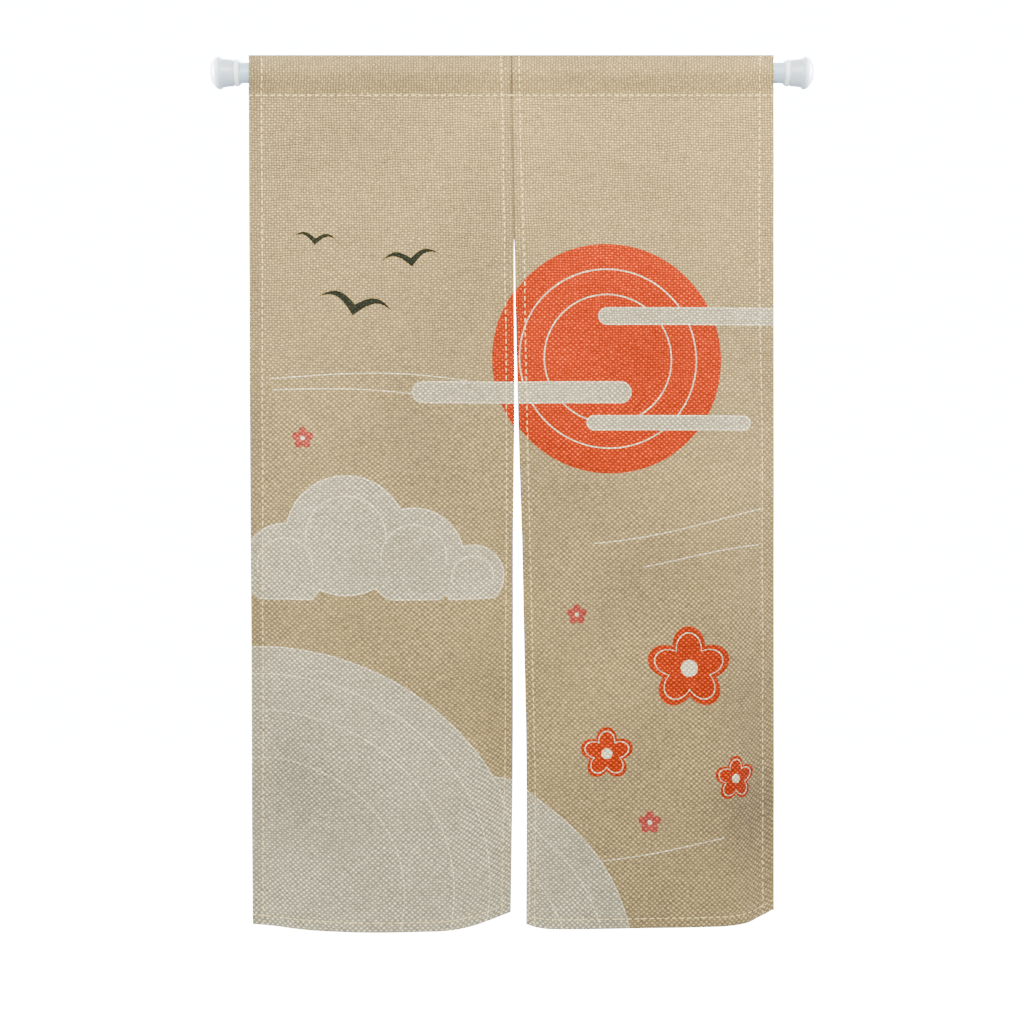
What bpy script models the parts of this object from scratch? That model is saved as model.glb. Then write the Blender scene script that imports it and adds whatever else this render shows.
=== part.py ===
# Noren curtain on its tension rod.
# Two separately cut and hemmed cloth panels hang side by side from a rod pocket sewn at their tops.
# X runs to the right, Y to the back, Z up. The origin is on the rod's axis, halfway along it.

import math
from collections import namedtuple

import bmesh
import bpy

# Rod, in metres
TUBE_RADIUS = 0.017
TUBE_WALL = 0.001
ROD_HALF_LENGTH = 0.4935
PIECE_GAP = 0.0003
ROUND_STEPS = 40

# Caps. The socket for the tube reaches from the foot to this far from the flat outer end.
SOCKET_END = 0.0152
END_DISC_RADIUS = 0.010

CapRing = namedtuple("CapRing", "from_end radius")
CAP_RINGS = (
    CapRing(0.0000, END_DISC_RADIUS),
    CapRing(0.0008, 0.0140),
    CapRing(0.0030, 0.0185),
    CapRing(0.0060, 0.0225),
    CapRing(0.0093, 0.0255),
    CapRing(0.0120, 0.0266),
    CapRing(0.0155, 0.0267),
    CapRing(0.0175, 0.0258),
    CapRing(0.0192, 0.0240),
    CapRing(0.0215, 0.0234),
    CapRing(0.0300, 0.0224),
    CapRing(0.0378, 0.0212),
    CapRing(0.0391, 0.0217),
    CapRing(0.0401, 0.0220),
    CapRing(0.0450, 0.0218),
    CapRing(0.0461, 0.0209),
    CapRing(0.0485, 0.0188),
    CapRing(0.0492, 0.0184),
)

# Cloth, in metres. A drop is a distance below the top crease.
CLOTH_THICKNESS = 0.0010
HEM_THICKNESS = 0.0018
OUTER_HEM = 0.0250
SLIT_HEM = 0.0190
BOTTOM_HEM = 0.0180
HEM_STEP = 0.0015
TOP_HEIGHT = 0.0293
CREASE_RADIUS = 0.0025
STITCH_DROP = 0.0665
POCKET_TAIL = 0.0030
FULL_DROP = 1.4381
LAYER_OFFSET = 0.0020
BEND_RADIUS = 0.0100
ROD_GATHER = 0.0068
SEAM_HALF_HEIGHT = 0.0008
SEAM_HALF_DEPTH = 0.0015
SEAM_INSET = 0.0010

# The folds grow and the hem rises between these drops
FOLD_START = 0.100
FOLD_FULL = 1.150
RISE_START = 0.700

# Grid of the sheet
COLUMNS_BETWEEN_HEMS = 14
ROWS_BELOW_POCKET = 26
CURVE_STEP = math.radians(18)

# Where the four upright edges hang, seen from the front
EdgeRow = namedtuple("EdgeRow", "drop left_outer left_slit right_slit right_outer")
EDGES = (
    EdgeRow(0.000, -0.4324, -0.00165, -0.00135, 0.4291),
    EdgeRow(0.110, -0.4321, -0.00015, 0.00015, 0.4295),
    EdgeRow(0.200, -0.4319, 0.00165, 0.00195, 0.4299),
    EdgeRow(0.292, -0.4317, 0.00325, 0.00355, 0.4302),
    EdgeRow(0.400, -0.4313, 0.00370, 0.00520, 0.4311),
    EdgeRow(0.500, -0.4315, 0.00430, 0.00740, 0.4321),
    EdgeRow(0.600, -0.4315, 0.00430, 0.00980, 0.4332),
    EdgeRow(0.700, -0.4312, 0.00310, 0.01260, 0.4344),
    EdgeRow(0.800, -0.4308, 0.00240, 0.01570, 0.4353),
    EdgeRow(0.960, -0.4301, 0.00240, 0.01920, 0.4366),
    EdgeRow(1.090, -0.4296, 0.00260, 0.02240, 0.4373),
    EdgeRow(1.200, -0.4293, 0.00180, 0.02370, 0.4374),
    EdgeRow(1.288, -0.4290, 0.00050, 0.02370, 0.4373),
    EdgeRow(1.438, -0.4280, -0.00180, 0.02240, 0.4375),
)

# Folds across each panel: how far the hem hangs back and how far it rises
FoldRow = namedtuple("FoldRow", "across back rise")
LEFT_FOLDS = (
    FoldRow(0.000, 0.0150, 0.0087),
    FoldRow(0.040, 0.0095, 0.0064),
    FoldRow(0.075, 0.0005, 0.0040),
    FoldRow(0.120, -0.0060, 0.0016),
    FoldRow(0.200, -0.0100, 0.0000),
    FoldRow(0.280, -0.0090, 0.0010),
    FoldRow(0.325, -0.0055, 0.0024),
    FoldRow(0.362, 0.0030, 0.0077),
    FoldRow(0.402, 0.0165, 0.0180),
    FoldRow(0.434, 0.0300, 0.0262),
)
RIGHT_FOLDS = (
    FoldRow(0.000, 0.0220, 0.0068),
    FoldRow(0.020, 0.0125, 0.0034),
    FoldRow(0.045, 0.0030, 0.0026),
    FoldRow(0.120, -0.0060, 0.0050),
    FoldRow(0.200, -0.0080, 0.0069),
    FoldRow(0.280, -0.0045, 0.0076),
    FoldRow(0.340, 0.0060, 0.0071),
    FoldRow(0.378, 0.0225, 0.0089),
    FoldRow(0.404, 0.0355, 0.0152),
    FoldRow(0.418, 0.0428, 0.0190),
    FoldRow(0.428, 0.0480, 0.0236),
)

PanelRow = namedtuple("PanelRow", "name left_edge right_edge left_hem right_hem folds")
PANELS = (
    PanelRow("panel_left", "left_outer", "left_slit", OUTER_HEM, SLIT_HEM, LEFT_FOLDS),
    PanelRow("panel_right", "right_slit", "right_outer", SLIT_HEM, OUTER_HEM, RIGHT_FOLDS),
)

# Colours and finishes
MaterialRow = namedtuple("MaterialRow", "name colour roughness metallic")
CLOTH_MATERIAL = MaterialRow("printed_cloth", (0.50, 0.39, 0.25), 0.90, 0.0)
TUBE_MATERIAL = MaterialRow("white_enamel", (0.72, 0.78, 0.82), 0.35, 0.0)
CAP_MATERIAL = MaterialRow("white_plastic", (0.78, 0.79, 0.80), 0.40, 0.0)

PocketPoint = namedtuple("PocketPoint", "y z turned_under")


def clear_scene():
    for ob in list(bpy.data.objects):
        bpy.data.objects.remove(ob)


def make_collection(name):
    collection = bpy.data.collections.new(name)
    bpy.context.scene.collection.children.link(collection)
    return collection


def make_material(row):
    material = bpy.data.materials.new(row.name)
    material.use_nodes = True
    shader = material.node_tree.nodes["Principled BSDF"]
    shader.inputs["Base Color"].default_value = (*row.colour, 1.0)
    shader.inputs["Roughness"].default_value = row.roughness
    shader.inputs["Metallic"].default_value = row.metallic
    material.diffuse_color = (*row.colour, 1.0)
    return material


def add_object(name, mesh, collection, material=None):
    ob = bpy.data.objects.new(name, mesh)
    collection.objects.link(ob)
    if material:
        mesh.materials.append(material)
    return ob


def smooth_share(value, start, end):
    """0 before start, 1 after end, with a soft rise between them."""
    share = min(max((value - start) / (end - start), 0.0), 1.0)
    return share * share * (3.0 - 2.0 * share)


def read_table(rows, key, column, at):
    """Reads a column at any key between the rows, along a smooth curve through them."""
    keys = [getattr(row, key) for row in rows]
    values = [getattr(row, column) for row in rows]
    if at <= keys[0]:
        return values[0]
    if at >= keys[-1]:
        return values[-1]
    i = max(k for k in range(len(keys) - 1) if keys[k] <= at)

    def slope(k):
        low = max(k - 1, 0)
        high = min(k + 1, len(keys) - 1)
        return (values[high] - values[low]) / (keys[high] - keys[low])

    span = keys[i + 1] - keys[i]
    t = (at - keys[i]) / span
    start = values[i] + slope(i) * span / 3.0
    end = values[i + 1] - slope(i + 1) * span / 3.0
    s = 1.0 - t
    return s**3 * values[i] + 3 * s * s * t * start + 3 * s * t * t * end + t**3 * values[i + 1]


# Turned pieces


def add_turned(name, profile, collection, material):
    """Turns a profile of (radius, height) about Z, then lays the piece's Z along the rod."""
    mesh = bpy.data.meshes.new(name)
    bm = bmesh.new()
    verts = [bm.verts.new((radius, 0.0, height)) for radius, height in profile]
    for a, b in zip(verts, verts[1:]):
        bm.edges.new((a, b))
    if profile[-1][0] > 0.0:
        bm.edges.new((verts[-1], verts[0]))
    bm.to_mesh(mesh)
    bm.free()
    ob = add_object(name, mesh, collection, material)
    screw = ob.modifiers.new("Turn", "SCREW")
    screw.axis = "Z"
    screw.steps = ROUND_STEPS
    screw.render_steps = ROUND_STEPS
    screw.use_merge_vertices = True
    screw.merge_threshold = 0.00001
    ob.rotation_euler = (0.0, math.pi / 2.0, 0.0)
    return ob


def build_tube(collection, material):
    half_length = ROD_HALF_LENGTH - SOCKET_END - PIECE_GAP
    bore_radius = TUBE_RADIUS - TUBE_WALL
    profile = (
        (TUBE_RADIUS, half_length),
        (TUBE_RADIUS, -half_length),
        (bore_radius, -half_length),
        (bore_radius, half_length),
    )
    return add_turned("rod_tube", profile, collection, material)


def build_cap(side_name, side, collection, material):
    """A turned end cap with a round socket for the tube. side is -1 at the left and 1 at the right."""
    socket_radius = TUBE_RADIUS + PIECE_GAP
    foot = CAP_RINGS[-1].from_end
    profile = [(0.0, 0.0)]
    profile += [(ring.radius, -ring.from_end) for ring in CAP_RINGS]
    profile += [(socket_radius, -foot), (socket_radius, -SOCKET_END), (0.0, -SOCKET_END)]
    cap = add_turned(f"rod_end_{side_name}", profile, collection, material)
    cap.location.x = side * ROD_HALF_LENGTH
    cap.rotation_euler.y *= side
    return cap


# Cloth panels


def arc_points(centre_y, centre_z, radius, start, end):
    """Points on an arc. Angles are turned from straight up towards the front, in radians."""
    count = max(1, math.ceil(abs(end - start) / CURVE_STEP))
    points = []
    for k in range(count + 1):
        angle = start + (end - start) * k / count
        points.append((centre_y - radius * math.sin(angle), centre_z + radius * math.cos(angle)))
    return points


def pocket_front_half():
    """The pocket's outer face in cross-section, from the header stitch up the front to the crease."""
    # The wrap is a little wide, so that its flats between points clear the tube too
    wrap_radius = (TUBE_RADIUS + PIECE_GAP + HEM_THICKNESS) / math.cos(CURVE_STEP / 2.0)
    crease_height = TOP_HEIGHT - CREASE_RADIUS
    stitch_height = TOP_HEIGHT - STITCH_DROP
    belt_angle = math.acos((wrap_radius - CREASE_RADIUS) / crease_height)
    # Below the rod the layer runs straight down and inwards, then bends into the hanging sheet
    bend_y = -LAYER_OFFSET - BEND_RADIUS
    centre_distance = math.hypot(bend_y, stitch_height)
    cross_angle = math.acos((wrap_radius + BEND_RADIUS) / centre_distance)
    touch_angle = math.atan2(-bend_y, stitch_height) - cross_angle
    bend = arc_points(bend_y, stitch_height, BEND_RADIUS, -math.pi / 2, touch_angle - math.pi)
    wrap = arc_points(0.0, 0.0, wrap_radius, touch_angle, belt_angle)
    crease = arc_points(0.0, crease_height, CREASE_RADIUS, belt_angle, 0.0)
    return bend + wrap + crease


def pocket_points():
    """The pocket's outer face, over the rod and down the back to the turned-under edge."""
    front = pocket_front_half()
    back = [(-y, z) for y, z in reversed(front[:-1])]
    tail = (LAYER_OFFSET, TOP_HEIGHT - STITCH_DROP - POCKET_TAIL)
    points = [PocketPoint(y, z, False) for y, z in front + back[:-2]]
    points += [PocketPoint(y, z, True) for y, z in back[-2:] + [tail]]
    return points


def column_places(panel):
    """Places across a panel, closer together beside the hems, where the cloth turns back most."""
    width = getattr(EDGES[0], panel.right_edge) - getattr(EDGES[0], panel.left_edge)
    start = panel.left_hem + HEM_STEP
    end = width - panel.right_hem - HEM_STEP
    places = [0.0, panel.left_hem]
    for k in range(COLUMNS_BETWEEN_HEMS + 1):
        even = k / COLUMNS_BETWEEN_HEMS
        crowded = 0.5 - 0.5 * math.cos(math.pi * even)
        places.append(start + (end - start) * 0.5 * (even + crowded))
    places += [width - panel.right_hem, width]
    return places


def row_drops():
    """Drops of the rows from the hem up to the header stitch, which is left to the pocket."""
    top_of_hem = FULL_DROP - BOTTOM_HEM - HEM_STEP
    drops = [FULL_DROP, FULL_DROP - BOTTOM_HEM]
    for k in range(ROWS_BELOW_POCKET):
        drops.append(top_of_hem + (STITCH_DROP - top_of_hem) * k / ROWS_BELOW_POCKET)
    return drops


def hanging_row(drop, places, panel):
    """Points of one row of the hanging sheet: folded to the back, and drawn in by as much."""
    growth = smooth_share(drop, FOLD_START, FOLD_FULL)
    lift = smooth_share(drop, RISE_START, FULL_DROP)
    backs = [growth * read_table(panel.folds, "across", "back", place) for place in places]
    spread = [0.0]
    for k in range(1, len(places)):
        step = places[k] - places[k - 1]
        step_back = backs[k] - backs[k - 1]
        spread.append(spread[-1] + math.sqrt(step * step - step_back * step_back))
    left = read_table(EDGES, "drop", panel.left_edge, drop)
    right = read_table(EDGES, "drop", panel.right_edge, drop)
    points = []
    for place, back, reach in zip(places, backs, spread):
        rise = lift * read_table(panel.folds, "across", "rise", place)
        x = left + (right - left) * reach / spread[-1]
        points.append((x, back - LAYER_OFFSET, TOP_HEIGHT - drop + rise))
    return points


def panel_rows(places, panel):
    """Every row of a panel's outer face, from the hem up the front, over the rod and down the back."""
    rows = [hanging_row(drop, places, panel) for drop in row_drops()]
    stitch_row = hanging_row(STITCH_DROP, places, panel)
    turned_under = [False] * len(rows)
    for point in pocket_points():
        # Where the pocket stands out over the rod, it is gathered a little
        standing_out = smooth_share(abs(point.y), LAYER_OFFSET, TUBE_RADIUS)
        width_kept = 1.0 - ROD_GATHER * standing_out
        rows.append([(x * width_kept, point.y, point.z) for x, _, _ in stitch_row])
        turned_under.append(point.turned_under)
    return rows, turned_under


def add_seam_bar(panel, collection):
    """The header stitching, which closes the pocket: a thin bar sunk into both of its layers."""
    name = f"{panel.name}_seam"
    left = read_table(EDGES, "drop", panel.left_edge, STITCH_DROP) + SEAM_INSET
    right = read_table(EDGES, "drop", panel.right_edge, STITCH_DROP) - SEAM_INSET
    mesh = bpy.data.meshes.new(name)
    bm = bmesh.new()
    bmesh.ops.create_cube(bm, size=1.0)
    size = (right - left, 2.0 * SEAM_HALF_DEPTH, 2.0 * SEAM_HALF_HEIGHT)
    bmesh.ops.scale(bm, vec=size, verts=bm.verts)
    bm.to_mesh(mesh)
    bm.free()
    bar = add_object(name, mesh, collection)
    bar.location = ((left + right) / 2.0, 0.0, TOP_HEIGHT - STITCH_DROP)
    bar.hide_render = True
    bar.display_type = "WIRE"
    return bar


def add_sheet(name, rows, turned_under, collection, material):
    """A flat grid is laid out, and each of its points is moved to its place on the hanging sheet."""
    mesh = bpy.data.meshes.new(name)
    bm = bmesh.new()
    last_column = len(rows[0]) - 1
    last_row = len(rows) - 1
    bmesh.ops.create_grid(bm, x_segments=last_column, y_segments=last_row, size=1.0)
    hem_points = []
    for vert in bm.verts:
        column = round((vert.co.x + 1.0) / 2.0 * last_column)
        row = round((vert.co.y + 1.0) / 2.0 * last_row)
        vert.co = rows[row][column]
        side_hem = column <= 1 or column >= last_column - 1
        if side_hem or row <= 1 or turned_under[row]:
            hem_points.append(vert.index)
    bm.to_mesh(mesh)
    bm.free()
    mesh.shade_smooth()
    sheet = add_object(name, mesh, collection, material)
    hem = sheet.vertex_groups.new(name="hem")
    hem.add(hem_points, 1.0, "REPLACE")
    return sheet


def build_panel(panel, collection, cutters, material):
    rows, turned_under = panel_rows(column_places(panel), panel)
    sheet = add_sheet(panel.name, rows, turned_under, collection, material)

    cloth = sheet.modifiers.new("Cloth", "SOLIDIFY")
    cloth.thickness = HEM_THICKNESS
    cloth.offset = -1.0
    cloth.use_even_offset = True
    cloth.vertex_group = "hem"
    cloth.thickness_vertex_group = CLOTH_THICKNESS / HEM_THICKNESS

    seam = sheet.modifiers.new("Header stitching", "BOOLEAN")
    seam.operation = "UNION"
    seam.solver = "EXACT"
    seam.object = add_seam_bar(panel, cutters)
    return sheet


def main():
    clear_scene()
    parts = make_collection("noren_curtain")
    cutters = make_collection("sewing_guides")
    cloth = make_material(CLOTH_MATERIAL)
    enamel = make_material(TUBE_MATERIAL)
    plastic = make_material(CAP_MATERIAL)
    build_tube(parts, enamel)
    build_cap("left", -1, parts, plastic)
    build_cap("right", 1, parts, plastic)
    for panel in PANELS:
        build_panel(panel, parts, cutters, cloth)


main()
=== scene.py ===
import math
from collections import namedtuple

import bmesh
import bpy
import numpy as np
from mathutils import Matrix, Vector, noise


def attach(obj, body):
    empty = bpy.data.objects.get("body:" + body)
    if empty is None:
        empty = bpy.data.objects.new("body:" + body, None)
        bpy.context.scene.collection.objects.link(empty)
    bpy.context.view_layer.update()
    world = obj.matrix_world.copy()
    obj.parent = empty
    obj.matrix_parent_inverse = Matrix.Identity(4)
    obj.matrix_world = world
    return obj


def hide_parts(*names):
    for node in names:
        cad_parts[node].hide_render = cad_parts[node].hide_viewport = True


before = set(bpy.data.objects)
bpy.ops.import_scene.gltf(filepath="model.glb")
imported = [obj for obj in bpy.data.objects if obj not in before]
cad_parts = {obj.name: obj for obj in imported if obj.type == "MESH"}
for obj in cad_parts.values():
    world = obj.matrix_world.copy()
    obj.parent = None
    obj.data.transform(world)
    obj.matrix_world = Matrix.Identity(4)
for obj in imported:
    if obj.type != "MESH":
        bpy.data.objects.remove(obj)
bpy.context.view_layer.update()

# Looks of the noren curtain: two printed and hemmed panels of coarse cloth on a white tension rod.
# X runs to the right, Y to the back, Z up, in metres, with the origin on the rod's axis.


def table(row_type, *rows):
    return tuple(row_type(*row) for row in rows)


# Rod, as in the part's source
TUBE_RADIUS = 0.017
TUBE_WALL = 0.001
ROD_HALF_LENGTH = 0.4935
PIECE_GAP = 0.0003
SOCKET_END = 0.0152
ROUND_STEPS = 96
PROFILE_STEP = 0.0006

# Cloth, as in the part's source. A drop is a distance below the top crease.
CLOTH_THICKNESS = 0.0010
HEM_THICKNESS = 0.0018
OUTER_HEM = 0.0250
SLIT_HEM = 0.0190
BOTTOM_HEM = 0.0180
HEM_STEP = 0.0015
TOP_HEIGHT = 0.0293
CREASE_RADIUS = 0.0025
STITCH_DROP = 0.0665
POCKET_TAIL = 0.0030
FULL_DROP = 1.4381
LAYER_OFFSET = 0.0020
BEND_RADIUS = 0.0100
ROD_GATHER = 0.0068
COARSE_STEP = math.radians(18)
CURVE_STEP = math.radians(6)
FOLD_START = 0.100
FOLD_FULL = 1.150
RISE_START = 0.700

EdgeRow = namedtuple("EdgeRow", "drop left_outer left_slit right_slit right_outer")
SEAM_END = 0.292
# Above the seam's end the panels are sewn edge to edge, so there they touch
EDGES = table(
    EdgeRow,
    (0.000, -0.4324, -0.00120, -0.00180, 0.4291),
    (0.110, -0.4321, 0.00030, -0.00030, 0.4295),
    (0.200, -0.4319, 0.00210, 0.00150, 0.4299),
    (0.292, -0.4317, 0.00370, 0.00310, 0.4302),
    (0.325, -0.4316, 0.00335, 0.00415, 0.4305),
    (0.400, -0.4313, 0.00370, 0.00520, 0.4311),
    (0.500, -0.4315, 0.00430, 0.00740, 0.4321),
    (0.600, -0.4315, 0.00430, 0.00980, 0.4332),
    (0.700, -0.4312, 0.00310, 0.01260, 0.4344),
    (0.800, -0.4308, 0.00240, 0.01570, 0.4353),
    (0.960, -0.4301, 0.00240, 0.01920, 0.4366),
    (1.090, -0.4296, 0.00260, 0.02240, 0.4373),
    (1.200, -0.4293, 0.00180, 0.02370, 0.4374),
    (1.288, -0.4290, 0.00050, 0.02370, 0.4373),
    (1.438, -0.4280, -0.00180, 0.02240, 0.4375),
)

# Distance of each stitch line from its edge
STITCH_PLACES = table(
    EdgeRow,
    (0.00, 0.0212, 0.0178, 0.0126, 0.0224),
    (0.09, 0.0215, 0.0157, 0.0139, 0.0234),
    (0.16, 0.0216, 0.0157, 0.0136, 0.0239),
    (0.22, 0.0216, 0.0164, 0.0150, 0.0240),
    (0.29, 0.0217, 0.0158, 0.0155, 0.0241),
    (0.37, 0.0215, 0.0151, 0.0162, 0.0240),
    (0.44, 0.0212, 0.0140, 0.0158, 0.0238),
    (0.57, 0.0211, 0.0137, 0.0155, 0.0218),
    (0.70, 0.0213, 0.0123, 0.0150, 0.0216),
    (0.80, 0.0204, 0.0120, 0.0146, 0.0224),
    (0.88, 0.0198, 0.0128, 0.0153, 0.0228),
    (0.96, 0.0195, 0.0139, 0.0156, 0.0223),
    (1.10, 0.0193, 0.0145, 0.0155, 0.0231),
    (1.22, 0.0189, 0.0148, 0.0164, 0.0216),
    (1.29, 0.0190, 0.0160, 0.0166, 0.0213),
    (1.36, 0.0184, 0.0166, 0.0162, 0.0205),
    (1.44, 0.0182, 0.0170, 0.0158, 0.0200),
)
BOTTOM_STITCH = 0.0162

FoldRow = namedtuple("FoldRow", "across back rise")
LEFT_FOLDS = table(
    FoldRow,
    (0.000, 0.0150, 0.0087),
    (0.040, 0.0095, 0.0064),
    (0.075, 0.0005, 0.0040),
    (0.120, -0.0060, 0.0016),
    (0.200, -0.0100, 0.0000),
    (0.280, -0.0090, 0.0010),
    (0.325, -0.0055, 0.0024),
    (0.362, 0.0030, 0.0077),
    (0.402, 0.0165, 0.0180),
    (0.434, 0.0300, 0.0262),
)
RIGHT_FOLDS = table(
    FoldRow,
    (0.000, 0.0220, 0.0068),
    (0.020, 0.0125, 0.0034),
    (0.045, 0.0030, 0.0026),
    (0.120, -0.0060, 0.0050),
    (0.200, -0.0080, 0.0069),
    (0.280, -0.0045, 0.0076),
    (0.340, 0.0060, 0.0071),
    (0.378, 0.0225, 0.0089),
    (0.404, 0.0355, 0.0152),
    (0.418, 0.0428, 0.0190),
    (0.428, 0.0480, 0.0236),
)

# Soft troughs (depth below zero) and ridges, along straight lines in the cloth
Crease = namedtuple("Crease", "start_across start_drop end_across end_drop depth half_width")
LEFT_CREASES = table(
    Crease,
    (0.026, 1.060, 0.130, 1.420, -0.0044, 0.024),
    (0.085, 1.060, 0.170, 1.330, 0.0020, 0.024),
    (0.300, 0.900, 0.372, 1.400, -0.0018, 0.022),
    (0.120, 0.085, 0.060, 0.420, -0.0012, 0.020),
    (0.350, 0.080, 0.400, 0.330, 0.0010, 0.018),
    (0.235, 1.180, 0.250, 1.425, 0.0016, 0.022),
)
RIGHT_CREASES = table(
    Crease,
    (0.060, 0.900, 0.030, 1.400, -0.0022, 0.018),
    (0.378, 0.960, 0.418, 1.620, -0.0045, 0.026),
    (0.300, 0.960, 0.330, 1.330, 0.0018, 0.022),
    (0.060, 0.090, 0.110, 0.400, 0.0010, 0.020),
    (0.330, 0.085, 0.395, 0.460, -0.0012, 0.020),
    (0.180, 1.150, 0.160, 1.425, -0.0015, 0.024),
)

PanelRow = namedtuple("PanelRow", "side node left_edge right_edge left_hem right_hem folds creases")
PANELS = (
    PanelRow("left", "panel_left", "left_outer", "left_slit", OUTER_HEM, SLIT_HEM,
             LEFT_FOLDS, LEFT_CREASES),
    PanelRow("right", "panel_right", "right_slit", "right_outer", SLIT_HEM, OUTER_HEM,
             RIGHT_FOLDS, RIGHT_CREASES),
)

# Grid of a sheet, and the cloth cut for it
HEM_COLUMN_STEP = 0.0017
FIELD_COLUMN_STEP = 0.0070
HEM_ROW_STEP = 0.0018
FIELD_ROW_STEP = 0.0062
POCKET_ROW_STEP = 0.0026
HEM_TUCK = 0.0080
# Painted shade at the cloth's folded edges
PAINTED_EDGE_SHADE = 0.44

# Stitches
STITCH_PITCH = 0.0119
STITCH_LENGTH = 0.0076
THREAD_THICKNESS = 0.0018
LINE_STEP = 0.005
END_ROOM = 0.003

# How far the sewing and the folding move the cloth
STITCH_PULL = 0.00050
STITCH_PUCKER = 0.00050
HEADER_PUCKER = 0.00060
EDGE_ROLL = 0.00060

# Camera
CAMERA_PLACE = (0.0, -2.8, -0.7206)
CAMERA_LENS = 60.0
SENSOR_WIDTH = 36.0
FLOOR_HEIGHT = -1.95


def smooth_share(value, start, end):
    """0 before start, 1 after end, with a soft rise between them."""
    share = min(max((value - start) / (end - start), 0.0), 1.0)
    return share * share * (3.0 - 2.0 * share)


def bell(distance, half_width):
    return math.exp(-((distance / half_width) ** 2))


def read_table(rows, column, at):
    """Reads a column where the first one has the value at, along a smooth curve through the rows."""
    keys = [row[0] for row in rows]
    values = [getattr(row, column) for row in rows]
    if at <= keys[0]:
        return values[0]
    if at >= keys[-1]:
        return values[-1]
    i = max(k for k in range(len(keys) - 1) if keys[k] <= at)

    def slope(k):
        low = max(k - 1, 0)
        high = min(k + 1, len(keys) - 1)
        return (values[high] - values[low]) / (keys[high] - keys[low])

    span = keys[i + 1] - keys[i]
    t = (at - keys[i]) / span
    start = values[i] + slope(i) * span / 3.0
    end = values[i + 1] - slope(i + 1) * span / 3.0
    s = 1.0 - t
    return s**3 * values[i] + 3 * s * s * t * start + 3 * s * t * t * end + t**3 * values[i + 1]


# Shapes of the cloth


def arc_points(centre_y, centre_z, radius, start, end):
    """Points on an arc. Angles are turned from straight up towards the front, in radians."""
    step = min(CURVE_STEP, POCKET_ROW_STEP / radius) if radius > CREASE_RADIUS else CURVE_STEP * 2.0
    count = max(1, math.ceil(abs(end - start) / step))
    points = []
    for k in range(count + 1):
        angle = start + (end - start) * k / count
        points.append((centre_y - radius * math.sin(angle), centre_z + radius * math.cos(angle)))
    return points


def even_points(start, end):
    """Points on a straight line, both ends with them."""
    count = max(1, math.ceil(math.dist(start, end) / POCKET_ROW_STEP))
    return [tuple(a + (b - a) * k / count for a, b in zip(start, end)) for k in range(count + 1)]


def pocket_front_half():
    """The pocket's outer face in cross-section, from the header stitch up the front to the crease."""
    wrap_radius = (TUBE_RADIUS + PIECE_GAP + HEM_THICKNESS) / math.cos(COARSE_STEP / 2.0)
    crease_height = TOP_HEIGHT - CREASE_RADIUS
    stitch_height = TOP_HEIGHT - STITCH_DROP
    belt_angle = math.acos((wrap_radius - CREASE_RADIUS) / crease_height)
    # Below the rod the layer runs straight down and inwards, then bends into the hanging sheet
    bend_y = -LAYER_OFFSET - BEND_RADIUS
    centre_distance = math.hypot(bend_y, stitch_height)
    cross_angle = math.acos((wrap_radius + BEND_RADIUS) / centre_distance)
    touch_angle = math.atan2(-bend_y, stitch_height) - cross_angle
    bend = arc_points(bend_y, stitch_height, BEND_RADIUS, -math.pi / 2, touch_angle - math.pi)
    wrap = arc_points(0.0, 0.0, wrap_radius, touch_angle, belt_angle)
    crease = arc_points(0.0, crease_height, CREASE_RADIUS, belt_angle, 0.0)
    straight = even_points(bend[-1], wrap[0])[1:-1]
    belt = even_points(wrap[-1], crease[0])[1:-1]
    return bend + straight + wrap + belt + crease


def even_steps(start, end, step):
    count = max(1, round(abs(end - start) / step))
    return [start + (end - start) * k / count for k in range(count + 1)]


def column_places(panel, width):
    """Places across a panel: close together over the hems, wider between them."""
    left = even_steps(0.0, panel.left_hem, HEM_COLUMN_STEP)
    right = even_steps(width - panel.right_hem, width, HEM_COLUMN_STEP)
    start = panel.left_hem + HEM_STEP
    end = width - panel.right_hem - HEM_STEP
    return left + even_steps(start, end, FIELD_COLUMN_STEP) + right


def row_drops():
    """Drops of the rows from the hem up to the header stitch, which is left to the pocket."""
    top_of_hem = FULL_DROP - BOTTOM_HEM
    below_stitch = STITCH_DROP + 0.012
    drops = even_steps(FULL_DROP, top_of_hem, HEM_ROW_STEP)
    drops += even_steps(top_of_hem - HEM_STEP, below_stitch, FIELD_ROW_STEP)
    drops += even_steps(below_stitch, STITCH_DROP, HEM_ROW_STEP)[1:-1]
    return drops


def hanging_row(drop, places, panel):
    """Points of one row of the hanging sheet: folded to the back, and drawn in by as much."""
    growth = smooth_share(drop, FOLD_START, FOLD_FULL)
    lift = smooth_share(drop, RISE_START, FULL_DROP)
    backs = [growth * read_table(panel.folds, "back", place) for place in places]
    spread = [0.0]
    for k in range(1, len(places)):
        step = places[k] - places[k - 1]
        step_back = backs[k] - backs[k - 1]
        spread.append(spread[-1] + math.sqrt(step * step - step_back * step_back))
    left = read_table(EDGES, panel.left_edge, drop)
    right = read_table(EDGES, panel.right_edge, drop)
    points = []
    for place, back, reach in zip(places, backs, spread):
        rise = lift * read_table(panel.folds, "rise", place)
        x = left + (right - left) * reach / spread[-1]
        points.append((x, back - LAYER_OFFSET, TOP_HEIGHT - drop + rise))
    return points


def along_crease(place, drop, crease):
    """How far a crease lifts the cloth at a place: deepest in its middle, fading out at its ends."""
    run = Vector((crease.end_across - crease.start_across, crease.end_drop - crease.start_drop))
    offset = Vector((place - crease.start_across, drop - crease.start_drop))
    share = offset.dot(run) / run.length_squared
    if share <= 0.0 or share >= 1.0:
        return 0.0
    aside = abs(offset.x * run.y - offset.y * run.x) / run.length
    fade = smooth_share(share, 0.0, 0.45) * (1.0 - smooth_share(share, 0.6, 1.0))
    return crease.depth * fade * bell(aside, crease.half_width)


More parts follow.
